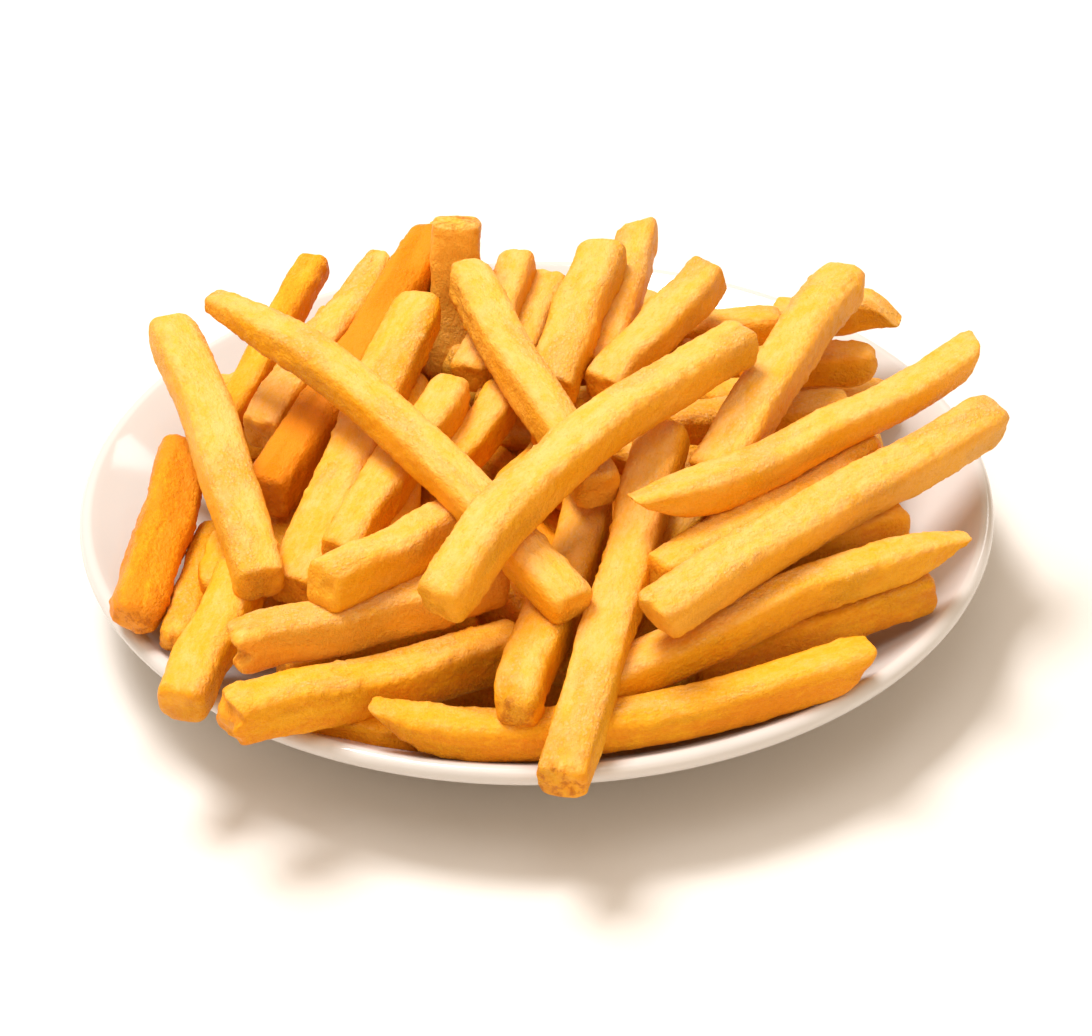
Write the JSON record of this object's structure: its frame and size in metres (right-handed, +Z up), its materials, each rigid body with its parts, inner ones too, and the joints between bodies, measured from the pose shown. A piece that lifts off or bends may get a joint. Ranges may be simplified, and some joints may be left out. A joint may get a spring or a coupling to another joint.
{
  "type": "french fries on a plate",
  "caption": "Heap of straight-cut french fries, crossed and loosely piled, on a round white shallow plate with a rolled rim and a foot ring.",
  "frame": {"origin": "middle of the plate's foot ring, on the surface that it stands on", "axes": "+Z up along the plate's axis, +X to the right and -Y to the front, where the longest fries cross"},
  "size_m": [0.2122, 0.2289, 0.0717],
  "materials": {
    "porcelain": "gloss",
    "fried_potato": "satin"
  },
  "bodies": {
    "root": {"plate": "porcelain", "fries": "fried_potato"}
  },
  "joints": []
}
